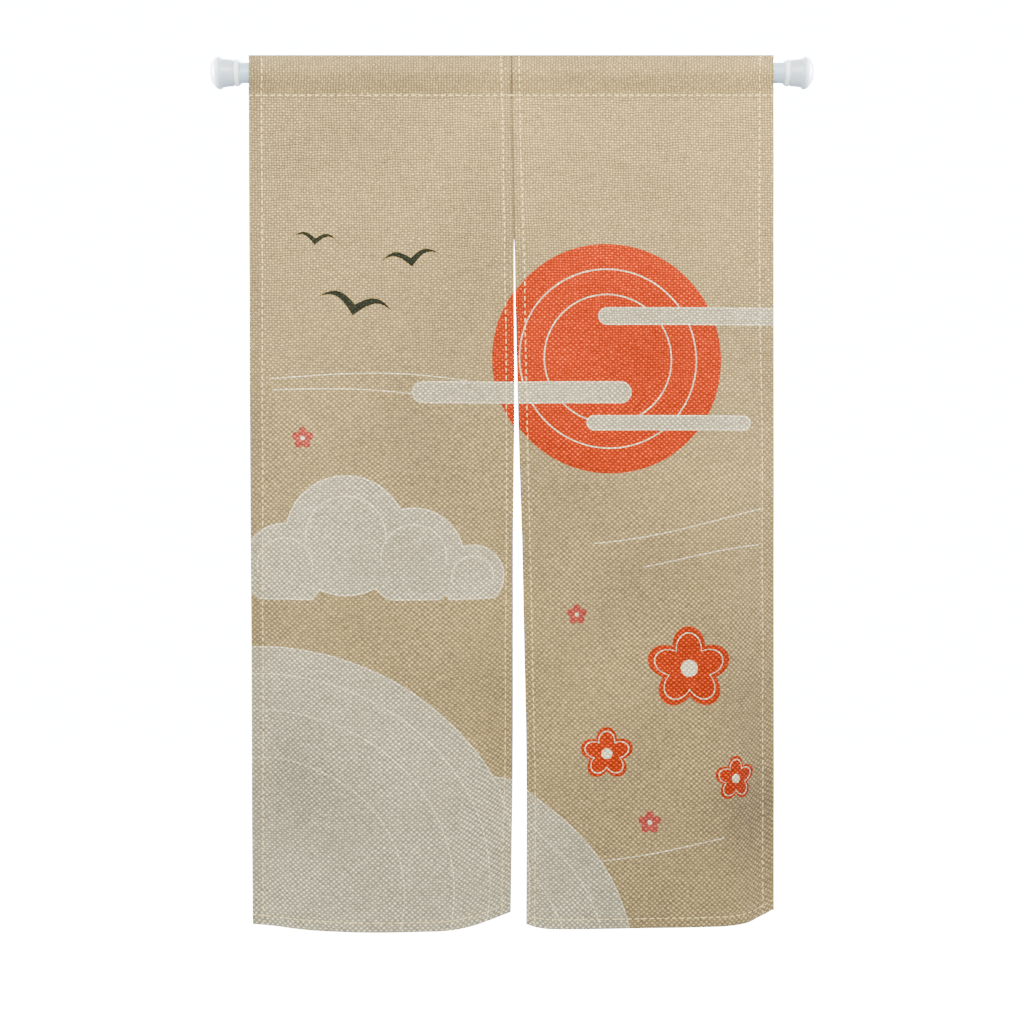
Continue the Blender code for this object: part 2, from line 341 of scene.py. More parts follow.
class Sheet:
    """A panel's outer face as a grid of points, with its normals and its places in the flat cloth."""

    def __init__(self, panel):
        self.panel = panel
        self.left = getattr(EDGES[0], panel.left_edge)
        self.width = getattr(EDGES[0], panel.right_edge) - self.left
        self.places = column_places(panel, self.width)
        self.lay_rows()
        self.find_normals()
        self.add_relief()
        self.find_normals()

    def drop_at(self, run):
        """The drop below the top crease of a place on the cloth, the same for the pocket's two layers."""
        return abs(run) - self.stitch_run + STITCH_DROP

    def stitch_offset(self, edge, run):
        return read_table(STITCH_PLACES, edge, self.drop_at(run))

    def lay_rows(self):
        """Rows run from the hem up the front, over the rod and down the back. A row's run is its
        distance from the top crease along the cloth, below zero on the pocket's back."""
        front = pocket_front_half()
        back = [(-y, z) for y, z in reversed(front[:-1])]
        tail = (LAYER_OFFSET, TOP_HEIGHT - STITCH_DROP - POCKET_TAIL)
        pocket = front + back + [tail]
        steps = [math.dist(a, b) for a, b in zip(pocket, pocket[1:])]
        self.stitch_run = sum(steps[: len(front) - 1])
        pocket_runs = [self.stitch_run]
        for step in steps:
            pocket_runs.append(pocket_runs[-1] - step)
        drops = row_drops()
        rows = [hanging_row(drop, self.places, self.panel) for drop in drops]
        stitch_row = hanging_row(STITCH_DROP, self.places, self.panel)
        for y, z in pocket:
            # Where the pocket stands out over the rod, it is gathered a little
            width_kept = 1.0 - ROD_GATHER * smooth_share(abs(y), LAYER_OFFSET, TUBE_RADIUS)
            rows.append([(x * width_kept, y, z) for x, _, _ in stitch_row])
        self.runs = np.array([drop - STITCH_DROP + self.stitch_run for drop in drops] + pocket_runs)
        self.points = np.array(rows)
        self.full_run = self.runs[0]
        self.tail_run = self.runs[-1]

    def find_normals(self):
        across = np.gradient(self.points, axis=1)
        up = np.gradient(self.points, axis=0)
        normals = np.cross(across, up)
        self.normals = normals / np.linalg.norm(normals, axis=2, keepdims=True)

    def hem_share(self, place, run):
        """1 where the cloth is turned over and sewn down, 0 elsewhere."""
        tail_fold = self.tail_run + POCKET_TAIL + 0.009
        side = place <= self.panel.left_hem + 1e-6 or place >= self.width - self.panel.right_hem - 1e-6
        bottom = run >= self.full_run - BOTTOM_HEM - 1e-6
        return 1.0 if side or bottom or run <= tail_fold else 0.0

    def painted_edge_shade(self, column, row):
        """Painted shade: how much darker the cloth is painted in its narrow folds, most in the sewn seam,
        where the panels' edges meet.
        """
        last_column = len(self.places) - 1
        seam_column = last_column if self.panel.side == "left" else 0
        from_seam = abs(column - seam_column)
        drop = self.drop_at(self.runs[row])
        in_seam = 0.97 - 0.23 * smooth_share(drop, STITCH_DROP - 0.006, STITCH_DROP + 0.014)
        in_seam *= 1.0 - smooth_share(drop, SEAM_END - 0.010, SEAM_END + 0.030)
        # Painted shade along the bottom edge and the outer columns
        edge = PAINTED_EDGE_SHADE if row == 0 or column in (0, last_column) else 0.0
        # Painted shadow in the seam, between the panels' edges
        if from_seam < 2:
            edge += ((1.0 - edge) if from_seam == 0 else 0.42) * in_seam
        # Painted shade on the left panel's outer hem
        if self.panel.side == "left":
            edge += 0.15 * (1.0 - smooth_share(self.places[column], OUTER_HEM - 0.010, OUTER_HEM))
        # Painted shadow just under the header stitch, and painted shade along the top crease
        edge += 0.24 * bell(drop - STITCH_DROP - 0.0032, 0.0018)
        return min(edge + 0.24 * bell(self.runs[row], 0.0022), 1.0)

    def relief_at(self, place, run):
        """How far the cloth stands off its plain folds. Stitching pulls it in and puckers it."""
        panel = self.panel
        drop = self.drop_at(run)
        far = self.width - place
        left_seam = place - self.stitch_offset(panel.left_edge, run)
        right_seam = far - self.stitch_offset(panel.right_edge, run)
        bottom_seam = self.full_run - run - BOTTOM_STITCH
        seed = 3.7 if panel.side == "left" else 9.1
        wave = noise.noise(Vector((place * 9.0, run * 34.0, seed)))
        gather = noise.noise(Vector((place * 46.0, run * 6.0, seed + 4.0)))
        header = abs(run) - self.stitch_run
        height = 0.0
        for seam in (left_seam, right_seam, bottom_seam):
            height -= STITCH_PULL * bell(seam, 0.0017)
            height += STITCH_PUCKER * wave * bell(seam, 0.0150)
        height += HEADER_PUCKER * gather * bell(header, 0.0280)
        on_hem = smooth_share(min(place, far), 0.0, 0.022)
        height -= (0.00020 + 0.00050 * on_hem) * bell(header, 0.0020)
        # The folded edges roll a little to the back
        edge = min(place, far, self.full_run - run)
        height -= EDGE_ROLL * bell(edge, 0.0012)
        # Over the rod the cloth is drawn tight, so it only stands out there
        if run < self.stitch_run - 0.004:
            return max(height, -0.0001) if abs(run) > 0.004 else 0.0
        free = smooth_share(run, self.stitch_run, self.stitch_run + 0.20)
        low = smooth_share(drop, 0.45, 1.35)
        broad = noise.noise(Vector((place * 4.2 + seed, run * 2.1, seed)))
        ripple = noise.noise(Vector((place * 13.0, run * 5.5, seed + 8.0)))
        height += free * (0.0012 + 0.0014 * low) * broad
        height += free * (0.0004 + 0.0005 * low) * ripple
        for crease in panel.creases:
            height += along_crease(place, drop, crease)
        return height

    def add_relief(self):
        heights = [[self.relief_at(place, run) for place in self.places] for run in self.runs]
        self.points = self.points + self.normals * np.array(heights)[:, :, None]

    def sample(self, place, run):
        """The point and the normal at a place in the flat cloth, read between the grid's points."""
        column = np.interp(place, self.places, np.arange(len(self.places)))
        row = np.interp(-run, -self.runs, np.arange(len(self.runs)))
        c = min(int(column), len(self.places) - 2)
        r = min(int(row), len(self.runs) - 2)
        a = column - c
        b = row - r
        found = []
        for grid in (self.points, self.normals):
            low = grid[r, c] * (1.0 - a) + grid[r, c + 1] * a
            high = grid[r + 1, c] * (1.0 - a) + grid[r + 1, c + 1] * a
            found.append(Vector(low * (1.0 - b) + high * b))
        return found


def mesh_from(bm, name):
    mesh = bpy.data.meshes.new(name)
    bm.to_mesh(mesh)
    bm.free()
    return mesh


def link_object(name, data):
    ob = bpy.data.objects.new(name, data)
    bpy.context.scene.collection.objects.link(ob)
    return ob


def build_cloth(sheet, front_material, back_material):
    """A flat grid is laid out, and each of its points is moved to its place on the sheet."""
    name = f"cloth_{sheet.panel.side}"
    last_row = len(sheet.runs) - 1
    last_column = len(sheet.places) - 1
    bm = bmesh.new()
    bmesh.ops.create_grid(bm, x_segments=last_column, y_segments=last_row, size=1.0)
    flat = []
    hem_points = []
    painted_shades = []
    for vert in bm.verts:
        column = round((vert.co.x + 1.0) / 2.0 * last_column)
        row = round((vert.co.y + 1.0) / 2.0 * last_row)
        place = sheet.places[column]
        run = sheet.runs[row]
        vert.co = sheet.points[row, column]
        flat.append((sheet.left + place, -run))
        painted_shades.append(sheet.painted_edge_shade(column, row))
        if sheet.hem_share(place, run):
            hem_points.append(vert.index)
    uv_layer = bm.loops.layers.uv.new("ClothFlat")
    for face in bm.faces:
        for loop in face.loops:
            loop[uv_layer].uv = flat[loop.vert.index]
    mesh = mesh_from(bm, name)
    mesh.shade_smooth()
    folded = mesh.attributes.new("hem_fold", "FLOAT", "POINT")
    for index in hem_points:
        folded.data[index].value = 1.0
    # The painted shade of the folds, the seam and the header stitch, kept for the cloth's material
    painted_shade_layer = mesh.attributes.new("painted_edge_shade", "FLOAT", "POINT")
    painted_shade_layer.data.foreach_set("value", painted_shades)
    mesh.materials.append(front_material)
    mesh.materials.append(back_material)
    cloth = link_object(name, mesh)
    cloth.vertex_groups.new(name="hem").add(hem_points, 1.0, "REPLACE")

    layers = cloth.modifiers.new("Layers", "SOLIDIFY")
    layers.thickness = HEM_THICKNESS
    layers.offset = -1.0
    layers.use_even_offset = True
    layers.vertex_group = "hem"
    layers.thickness_vertex_group = CLOTH_THICKNESS / HEM_THICKNESS
    layers.material_offset = 1
    layers.material_offset_rim = 0

    edges = cloth.modifiers.new("Folded edges", "BEVEL")
    edges.width = 0.0004
    edges.segments = 2
    edges.limit_method = "ANGLE"
    edges.angle_limit = math.radians(55)
    return cloth


# Rod


def turned_mesh(name, profile, material):
    """Turns a profile of (distance along X, radius), from the flat end to the foot, about the X axis."""
    bm = bmesh.new()
    verts = [bm.verts.new((along, 0.0, radius)) for along, radius in profile]
    edges = [bm.edges.new(pair) for pair in zip(verts, verts[1:])]
    bmesh.ops.spin(
        bm, geom=verts + edges, axis=(1.0, 0.0, 0.0), cent=(0.0, 0.0, 0.0),
        angle=math.tau, steps=ROUND_STEPS, use_merge=True,
    )
    bmesh.ops.remove_doubles(bm, verts=bm.verts, dist=0.00001)
    bmesh.ops.recalc_face_normals(bm, faces=bm.faces)
    mesh = mesh_from(bm, name)
    mesh.shade_smooth()
    mesh.set_sharp_from_angle(angle=math.radians(50))
    mesh.materials.append(material)
    return link_object(name, mesh)


CapRing = namedtuple("CapRing", "from_end radius")
CAP_RINGS = table(
    CapRing,
    (0.0000, 0.0100),
    (0.0008, 0.0140),
    (0.0030, 0.0185),
    (0.0060, 0.0225),
    (0.0093, 0.0255),
    (0.0120, 0.0266),
    (0.0155, 0.0267),
    (0.0175, 0.0258),
    (0.0192, 0.0240),
    (0.0215, 0.0234),
    (0.0300, 0.0224),
    (0.0373, 0.0214),
    (0.0385, 0.0206),
    (0.0395, 0.0214),
    (0.0405, 0.0220),
    (0.0448, 0.0219),
    (0.0458, 0.0211),
    (0.0466, 0.0202),
    (0.0486, 0.0188),
    (0.0492, 0.0182),
)


def build_cap(side_name, side, material):
    """An end cap: a domed foot, a flared rim, a tapered body, a groove and a collar around the tube."""
    foot = CAP_RINGS[-1].from_end
    profile = [(0.0, 0.0)]
    for from_end in even_steps(0.0, foot, PROFILE_STEP):
        profile.append((from_end, read_table(CAP_RINGS, "radius", from_end)))
    socket_radius = TUBE_RADIUS + PIECE_GAP
    profile += [(foot, socket_radius), (SOCKET_END, socket_radius), (SOCKET_END, 0.0)]
    placed = [(side * (ROD_HALF_LENGTH - from_end), radius) for from_end, radius in profile]
    return turned_mesh(f"end_cap_{side_name}", placed, material)


def build_tube(material):
    half_length = ROD_HALF_LENGTH - SOCKET_END - PIECE_GAP
    bore_radius = TUBE_RADIUS - TUBE_WALL
    profile = [
        (-half_length, bore_radius), (-half_length, TUBE_RADIUS), (half_length, TUBE_RADIUS),
        (half_length, bore_radius), (-half_length, bore_radius),
    ]
    return turned_mesh("enamel_tube", profile, material)


# Nodes, and fields worked out by them


class Field:
    """A number that varies over a surface, worked out by math nodes."""

    def __init__(self, tree, socket):
        self.tree = tree
        self.socket = socket

    def math(self, operation, *terms, clamp=False):
        settings = {"operation": operation, "use_clamp": clamp}
        node = add_node(self.tree, "ShaderNodeMath", self, *terms, settings=settings)
        return Field(self.tree, node.outputs[0])

    def __add__(self, other):
        return self.math("ADD", other)

    def __sub__(self, other):
        return self.math("SUBTRACT", other)

    def __mul__(self, other):
        return self.math("MULTIPLY", other)

    def __truediv__(self, other):
        return self.math("DIVIDE", other)

    def above(self, other):
        return self.math("GREATER_THAN", other)

    def below(self, other):
        return self.math("LESS_THAN", other)

    def size(self):
        return self.math("ABSOLUTE")

    def root(self):
        return self.math("SQRT")

    def sine(self):
        return self.math("SINE")

    def floor(self):
        return self.math("FLOOR")

    def unit(self):
        """Kept between 0 and 1."""
        return self.math("ADD", 0.0, clamp=True)

    def opposite(self):
        """1 minus the field, kept between 0 and 1."""
        return (self * -1.0).math("ADD", 1.0, clamp=True)


def plug(tree, term, socket):
    if isinstance(term, Field):
        term = term.socket
    if isinstance(term, bpy.types.NodeSocket):
        tree.links.new(term, socket)
    else:
        socket.default_value = term


def feed(tree, node, *terms, **values):
    """Terms go into a node's first inputs, and values into those of their names, with _ for each space."""
    for socket, term in zip(node.inputs, terms):
        plug(tree, term, socket)
    for name, value in values.items():
        plug(tree, value, node.inputs[name.replace("_", " ")])
    return node


def add_node(tree, kind, *terms, settings=None, **values):
    node = tree.nodes.new(kind)
    for key, value in (settings or {}).items():
        setattr(node, key, value)
    return feed(tree, node, *terms, **values)


def new_group(name, inputs, outputs, kind="ShaderNodeTree"):
    """A node group, with the kinds of its sockets given by name."""
    tree = bpy.data.node_groups.new(name, kind)
    for way, sockets in (("INPUT", inputs), ("OUTPUT", outputs)):
        for socket_name, socket_kind in sockets:
            tree.interface.new_socket(socket_name, in_out=way, socket_type=f"NodeSocket{socket_kind}")
    given = tree.nodes.new("NodeGroupInput").outputs
    result = tree.nodes.new("NodeGroupOutput").inputs
    return tree, given, result


def place_group(tree, group, **values):
    return add_node(tree, "ShaderNodeGroup", settings={"node_tree": group}, **values).outputs


def stored_values(tree, name):
    return add_node(tree, "ShaderNodeAttribute", settings={"attribute_name": name}).outputs


def larger(first, second):
    return first.math("MAXIMUM", second)


def smaller(first, second):
    return first.math("MINIMUM", second)


def split_place(tree, place):
    node = add_node(tree, "ShaderNodeSeparateXYZ", place)
    return [Field(tree, output) for output in node.outputs]


def join_place(tree, x, y, z=0.0):
    return add_node(tree, "ShaderNodeCombineXYZ", x, y, z).outputs[0]


def noise_field(tree, place, scale, detail=2.0, roughness=0.5):
    """Soft noise about 0, mostly within 0.5 either way."""
    node = add_node(tree, "ShaderNodeTexNoise", Vector=place, Scale=scale, Detail=detail, Roughness=roughness)
    return Field(tree, node.outputs[0]) - 0.5


def chance_field(tree, x, y, z):
    """An even random number about 0 for each different place."""
    node = add_node(tree, "ShaderNodeTexWhiteNoise", Vector=join_place(tree, x, y, z))
    return Field(tree, node.outputs["Value"]) - 0.5


def mix_colour(tree, share, first, second):
    node = add_node(tree, "ShaderNodeMix", share, settings={"data_type": "RGBA"})
    plug(tree, first, node.inputs[6])
    plug(tree, second, node.inputs[7])
    return node.outputs[2]


def scale_colour(tree, colour, factor):
    """A colour made lighter or darker by a field."""
    if isinstance(colour, tuple):
        colour = colour[:3]
    node = add_node(tree, "ShaderNodeVectorMath", colour, settings={"operation": "SCALE"}, Scale=factor)
    return node.outputs[0]


# Stitches


def build_stitch_tree():
    """A node tree that lays short thread stitches along lines, each turned to face off the cloth."""
    tree, given, result = new_group(
        "running_stitch",
        (
            ("Lines", "Geometry"), ("Pitch", "Float"), ("Stitch length", "Float"),
            ("Thread thickness", "Float"), ("Seed", "Int"), ("Thread", "Material"),
        ),
        (("Stitches", "Geometry"),),
        "GeometryNodeTree",
    )

    def add(kind, *terms, settings=None, **values):
        return add_node(tree, kind, *terms, settings=settings, **values).outputs[0]

    vector = {"data_type": "FLOAT_VECTOR"}
    align = "FunctionNodeAlignRotationToVector"
    curve = add("GeometryNodeMeshToCurve", given["Lines"])
    spots = add("GeometryNodeResampleCurve", curve, settings={"mode": "LENGTH"}, Length=given["Pitch"])

    # One stitch: a ball drawn out along Z, whose ends dip into the cloth. X faces off the cloth.
    radius = Field(tree, given["Thread thickness"]) * 0.5
    half_length = Field(tree, given["Stitch length"]) * 0.5
    ball = add("GeometryNodeMeshUVSphere", Segments=8, Rings=6, Radius=radius)
    z = split_place(tree, add("GeometryNodeInputPosition"))[2]
    stretch = z.math("SIGN") * (half_length - radius)
    share = (z + stretch) / half_length
    offset = join_place(tree, share * share * -0.00055, 0.0, stretch)
    drawn = add("GeometryNodeSetPosition", ball, Offset=offset)
    stitch = add(
        "GeometryNodeStoreNamedAttribute", drawn, settings={**vector, "domain": "POINT"},
        Name="thread_place", Value=add("GeometryNodeInputPosition"),
    )

    facing = add("GeometryNodeInputNamedAttribute", "facing", settings=vector)
    along = add(align, settings={"axis": "Z"}, Vector=add("GeometryNodeInputTangent"))
    turned = add(align, settings={"axis": "X", "pivot_axis": "Z"}, Rotation=along, Vector=facing)
    copies = add("GeometryNodeInstanceOnPoints", spots, Instance=stitch, Rotation=turned)

    size = add(
        "FunctionNodeRandomValue", settings=vector,
        Min=(0.88, 0.90, 0.88), Max=(1.10, 1.12, 1.08), Seed=given["Seed"],
    )
    scaled = add("GeometryNodeScaleInstances", copies, Scale=size)
    tilt = add(
        "FunctionNodeRandomValue", settings=vector,
        Min=(-0.07, -0.03, 0.0), Max=(0.07, 0.03, 0.0), Seed=Field(tree, given["Seed"]) + 5,
    )
    leaning = add("GeometryNodeRotateInstances", scaled, Rotation=tilt)
    smooth = add("GeometryNodeSetShadeSmooth", add("GeometryNodeRealizeInstances", leaning))
    painted = add("GeometryNodeSetMaterial", smooth, Material=given["Thread"])
    plug(tree, painted, result["Stitches"])
    return tree


def stitch_lines(sheet):
    """Lines of (place, run, face): face is 1 on the outer face and -1 on the cloth's back."""
    panel = sheet.panel
    low_end = sheet.full_run - 0.004
    side_spans = (
        (END_ROOM, low_end, 1),
        (-END_ROOM, -sheet.stitch_run + 0.004, 1),
        (sheet.stitch_run + 0.008, low_end, -1),
    )
    lines = []
    for edge, from_right in ((panel.left_edge, False), (panel.right_edge, True)):
        for start, end, face in side_spans:
            line = []
            for run in even_steps(start, end, LINE_STEP):
                offset = sheet.stitch_offset(edge, run)
                line.append((sheet.width - offset if from_right else offset, run, face))
            lines.append(line)
    bottom_run = sheet.full_run - BOTTOM_STITCH
    across = even_steps(END_ROOM, sheet.width - END_ROOM, LINE_STEP)
    for run, face in ((sheet.stitch_run, 1), (-sheet.stitch_run, 1), (bottom_run, 1), (bottom_run, -1)):
        lines.append([(place, run, face) for place in across])
    return lines


def build_stitching(sheet, tree, thread, seed):
    name = f"stitching_{sheet.panel.side}"
    bm = bmesh.new()
    facing_layer = bm.verts.layers.float_vector.new("facing")
    for line in stitch_lines(sheet):
        last = None
        for place, run, face in line:
            point, normal = sheet.sample(place, run)
            if face < 0:
                point = point - normal * HEM_THICKNESS
            vert = bm.verts.new(point + normal * face * THREAD_THICKNESS * 0.18)
            vert[facing_layer] = normal * face
            if last:
                bm.edges.new((last, vert))
            last = vert
    guide = link_object(f"{name}_lines", mesh_from(bm, name))
    sewing = guide.modifiers.new("Running stitch", "NODES")
    sewing.node_group = tree
    values = {
        "Pitch": STITCH_PITCH,
        "Stitch length": STITCH_LENGTH,
        "Thread thickness": THREAD_THICKNESS,
        "Seed": seed,
        "Thread": thread,
    }
    for item in tree.interface.items_tree:
        if item.name in values:
            sewing[item.identifier] = values[item.name]
    evaluated = guide.evaluated_get(bpy.context.evaluated_depsgraph_get())
    mesh = bpy.data.meshes.new_from_object(evaluated)
    bpy.data.objects.remove(guide)
    return link_object(name, mesh)


# Weave

WARP_PITCH = 0.0045
WEFT_PITCH = 0.0041
WEAVE_CONTRAST = 0.74
WEAVE_LEVEL = 0.90


def build_weave_group():
    """Plain weave of thick, uneven yarn. Weft crowns stand proud of warp crowns, with gaps between."""
    tree, given, result = new_group(
        "plain_weave",
        (("Place", "Vector"), ("Yarn across", "Float"), ("Yarn along", "Float")),
        (("Height", "Float"), ("Tone", "Float")),
    )
    place = given["Place"]
    u, v, _ = split_place(tree, place)
    lean = noise_field(tree, place, 16.0, 1.0) * 1.6
    sway = noise_field(tree, join_place(tree, v, u, 3.0), 19.0, 1.0) * 1.6
    slub = noise_field(tree, place, 130.0, 1.0) * 0.80
    knots = noise_field(tree, join_place(tree, v, u, 7.0), 130.0, 1.0) * 0.80
    x = u / Field(tree, given["Yarn across"]) + lean + slub
    y = v / Field(tree, given["Yarn along"]) + sway + knots
    across = (x * math.pi).sine()
    along = (y * math.pi).sine()
    crossing = across * along
    weft = larger(crossing, 0.0).root()
    warp = larger(crossing * -1.0, 0.0).root()
    warp_chance = chance_field(tree, x.floor(), 0.0, 1.0)
    weft_chance = chance_field(tree, 0.0, y.floor(), 2.0)
    cell_chance = chance_field(tree, x.floor(), y.floor(), 3.0)
    weft_height = weft * (weft_chance * 0.30 + 0.75 + cell_chance * 0.35)
    warp_height = warp * (warp_chance * 0.26 + 0.37)
    plies = noise_field(tree, join_place(tree, u, v, 0.0), 900.0, 1.0)
    # Painted light and shade: the weft crowns are lighter, and the yarns that dive under them and the gaps
    # around both are darker, where shade falls
    # Lower down the crowns stand out more and the gaps less, and in the pocket the warp shows most
    patch = noise_field(tree, place, 9.0, 2.0)
    low = (v * -2.2 - 0.55).unit()
    pocket = (v * 90.0 + 7.2).unit()
    crowns = crossing * (patch + 0.42 + low * 0.58)
    warp_gap_shade = (across * across - 0.5) * (patch * -0.5 + 0.98 + pocket * 0.10 - low * 0.58)
    weft_gap_shade = (along * along - 0.5) * (patch * -0.8 + 1.38 - pocket * 0.65 - low * 0.70)
    # Each yarn is thick and thin along its own length
    weft_streak = noise_field(tree, join_place(tree, u, y.floor() * 0.37, 5.0), 34.0, 1.0)
    warp_streak = noise_field(tree, join_place(tree, x.floor() * 0.37, v, 9.0), 34.0, 1.0)
    uneven = warp_streak * 0.28 + weft_streak * 0.45 + cell_chance * 0.42 + plies * 0.10
    # The tone carries this painted light and shade together with the yarns' own uneven colour
    tone = ((crowns + warp_gap_shade + weft_gap_shade + uneven) * WEAVE_CONTRAST).math("EXPONENT") * WEAVE_LEVEL
    plug(tree, weft_height + warp_height + plies * 0.10, result["Height"])
    plug(tree, tone, result["Tone"])
    return tree


# Print

PRINT_EDGE = 0.0007
LINE_HALF_WIDTH = 0.0009
GROUND_BEIGE = (0.324, 0.231, 0.103, 1.0)
MIST_CREAM = (0.440, 0.384, 0.250, 1.0)
SUN_ORANGE = (0.430, 0.030, 0.0015, 1.0)
LINE_CREAM = (0.800, 0.700, 0.440, 1.0)
BIRD_BLACK = (0.014, 0.016, 0.008, 1.0)
BLOSSOM_PINK = (0.360, 0.060, 0.042, 1.0)

Disc = namedtuple("Disc", "u drop radius")
Band = namedtuple("Band", "u drop half_length radius")
Bird = namedtuple("Bird", "u drop span tilt")
Breeze = namedtuple("Breeze", "start end drop slope swing waves")

SUN = Disc(0.150, 0.510, 0.188)
SUN_RINGS = (0.78, 0.56)
MIST_BANDS = table(
    Band,
    (0.300, 0.440, 0.150, 0.0135),
    (0.010, 0.565, 0.160, 0.0170),
    (0.250, 0.615, 0.125, 0.0115),
)
CLOUD_DISCS = table(
    Disc,
    (-0.375, 0.850, 0.070),
    (-0.275, 0.800, 0.098),
    (-0.165, 0.835, 0.080),
    (-0.070, 0.868, 0.052),
)
CLOUD_FOOT = 0.905
# Each hill is the upper part of a large disc, the nearest one last
HILLS = table(Disc, (-0.150, 1.520, 0.330), (-0.400, 1.390, 0.405))
HILL_LINES = (0.045, 0.105, 0.185)
BIRDS = table(
    Bird,
    (-0.262, 0.430, 0.062, 0.20),
    (-0.168, 0.352, 0.048, -0.12),
    (-0.325, 0.318, 0.036, 0.10),
)
BIG_BLOSSOMS = table(Disc, (0.272, 1.020, 0.070), (0.135, 1.160, 0.044), (0.350, 1.205, 0.038))
BLOSSOMS = table(Disc, (-0.345, 0.640, 0.018), (0.205, 1.275, 0.019), (0.090, 0.930, 0.017))
BREEZES = table(
    Breeze,
    (-0.400, -0.080, 0.560, 0.06, 0.014, 9.0),
    (-0.395, -0.140, 0.600, 0.10, 0.016, 8.0),
    (0.120, 0.405, 0.815, -0.12, 0.013, 10.0),
    (0.200, 0.400, 0.860, -0.08, 0.012, 12.0),
    (0.050, 0.330, 1.340, -0.10, 0.010, 11.0),
)


def soft_mask(distance):
    """1 inside a shape, where the distance to its outline is below zero, and 0 outside."""
    return (distance / -PRINT_EDGE).math("ADD", 0.5, clamp=True)


def line_mask(distance, half_width=LINE_HALF_WIDTH):
    return soft_mask(distance.size() - half_width)


def reach_from(u, drop, shape):
    across = u - shape.u
    down = drop - shape.drop
    return (across * across + down * down).root()


def band_distance(u, drop, band):
    past_end = larger((u - band.u).size() - band.half_length, 0.0)
    down = drop - band.drop
    return (past_end * past_end + down * down).root() - band.radius


def bird_distance(u, drop, bird):
    """Two raised wings. The wing's middle line is an arch on each side of the body."""
    cosine = math.cos(bird.tilt)
    sine = math.sin(bird.tilt)
    across = (u - bird.u) * cosine + (drop - bird.drop) * sine
    down = (drop - bird.drop) * cosine - (u - bird.u) * sine
    share = smaller(across.size() / bird.span, 1.0)
    arch = (share * math.pi * 0.86).sine() * (-0.34 * bird.span)
    half_thickness = share.opposite() * (0.15 * bird.span)
    past_tip = larger(across.size() - bird.span, 0.0)
    return (down - arch).size() - half_thickness + past_tip * 2.0


def blossom_distance(u, drop, disc):
    angle = (u - disc.u).math("ARCTAN2", drop - disc.drop)
    petal = (angle * 2.5).sine().size() * 0.34 + 0.66
    return reach_from(u, drop, disc) - petal * disc.radius


def build_print_group():
    """The print, laid across both panels: a sun behind mist, clouds, birds, pale hills and blossoms."""
    tree, given, result = new_group("noren_print", (("Place", "Vector"),), (("Color", "Color"),))
    place = given["Place"]
    wobble = noise_field(tree, place, 90.0, 2.0) * 0.0009
    u, v, _ = split_place(tree, place)
    u = u + wobble
    drop = v * -1.0 + wobble

    colour = GROUND_BEIGE

    def paint(over, mask):
        nonlocal colour
        colour = mix_colour(tree, mask, colour, over)

    # Sun, with two rings drawn in it
    sun_reach = reach_from(u, drop, SUN)
    paint(SUN_ORANGE, soft_mask(sun_reach - SUN.radius))
    for share in SUN_RINGS:
        paint(LINE_CREAM, line_mask(sun_reach - SUN.radius * share))

    # Breezes: long thin light lines
    for breeze in BREEZES:
        middle = (u * breeze.waves).sine() * breeze.swing + u * breeze.slope + breeze.drop
        line = line_mask(drop - middle, LINE_HALF_WIDTH * 0.8)
        within = u.above(breeze.start) * u.below(breeze.end)
        paint(LINE_CREAM, line * within)

    # Cloud bank with a flat foot, and a curl line in each of its discs
    cloud = None
    for disc in CLOUD_DISCS:
        lobe = reach_from(u, drop, disc) - disc.radius
        cloud = lobe if cloud is None else smaller(cloud, lobe)
    cloud = larger(cloud, drop - CLOUD_FOOT)
    cloud_mask = soft_mask(cloud)
    paint(MIST_CREAM, cloud_mask)
    for disc in CLOUD_DISCS:
        curl = line_mask(reach_from(u, drop, disc) - disc.radius * 0.66)
        above = soft_mask(drop - disc.drop - 0.012)
        paint(LINE_CREAM, curl * cloud_mask * above)
    paint(LINE_CREAM, line_mask(cloud))

    # Mist bands in front of the sun
    for band in MIST_BANDS:
        distance = band_distance(u, drop, band)
        paint(MIST_CREAM, soft_mask(distance))
        paint(LINE_CREAM, line_mask(distance))

    # Hills, with a few lines along each slope
    for hill in HILLS:
        distance = reach_from(u, drop, hill) - hill.radius
        inside = soft_mask(distance)
        paint(MIST_CREAM, inside)
        for depth in (0.0, *HILL_LINES):
            paint(LINE_CREAM, line_mask(distance + depth, LINE_HALF_WIDTH * 0.8))

    # Blossoms and birds
    for discs, petals in ((BIG_BLOSSOMS, SUN_ORANGE), (BLOSSOMS, BLOSSOM_PINK)):
        for disc in discs:
            distance = blossom_distance(u, drop, disc)
            paint(petals, soft_mask(distance))
            heart = reach_from(u, drop, disc) - disc.radius * 0.20
            paint(LINE_CREAM, soft_mask(heart))
            if petals is SUN_ORANGE:
                paint(LINE_CREAM, line_mask(distance + disc.radius * 0.16))
    for bird in BIRDS:
        paint(BIRD_BLACK, soft_mask(bird_distance(u, drop, bird)))
    plug(tree, colour, result["Color"])
    return tree


def shade_cloth(tree, colour, tone):
    """A cloth colour under a light and dark tone. The shade between the yarns keeps more of its blue."""
    red, green, blue = split_place(tree, colour)
    blue_share = smaller(larger(blue / red * 1.3 + 0.25, 0.60), 1.0)
    green_tone = tone.math("POWER", blue_share * 0.2 + 0.8)
    blue_tone = tone.math("POWER", blue_share)
    return join_place(tree, red * tone, green * green_tone, blue * blue_tone)


# Wide soft painted shade where the cloth's folds turn from the light: middle, reach, and how much darker the
# cloth is painted there
FoldShade = namedtuple("FoldShade", "u drop reach depth")
FOLD_SHADES = table(
    FoldShade,
    (-0.348, 1.222, 0.075, 0.12),
    (-0.266, 0.156, 0.100, 0.05),
    (0.177, 1.198, 0.085, 0.12),
    (0.392, 1.280, 0.100, 0.30),
)


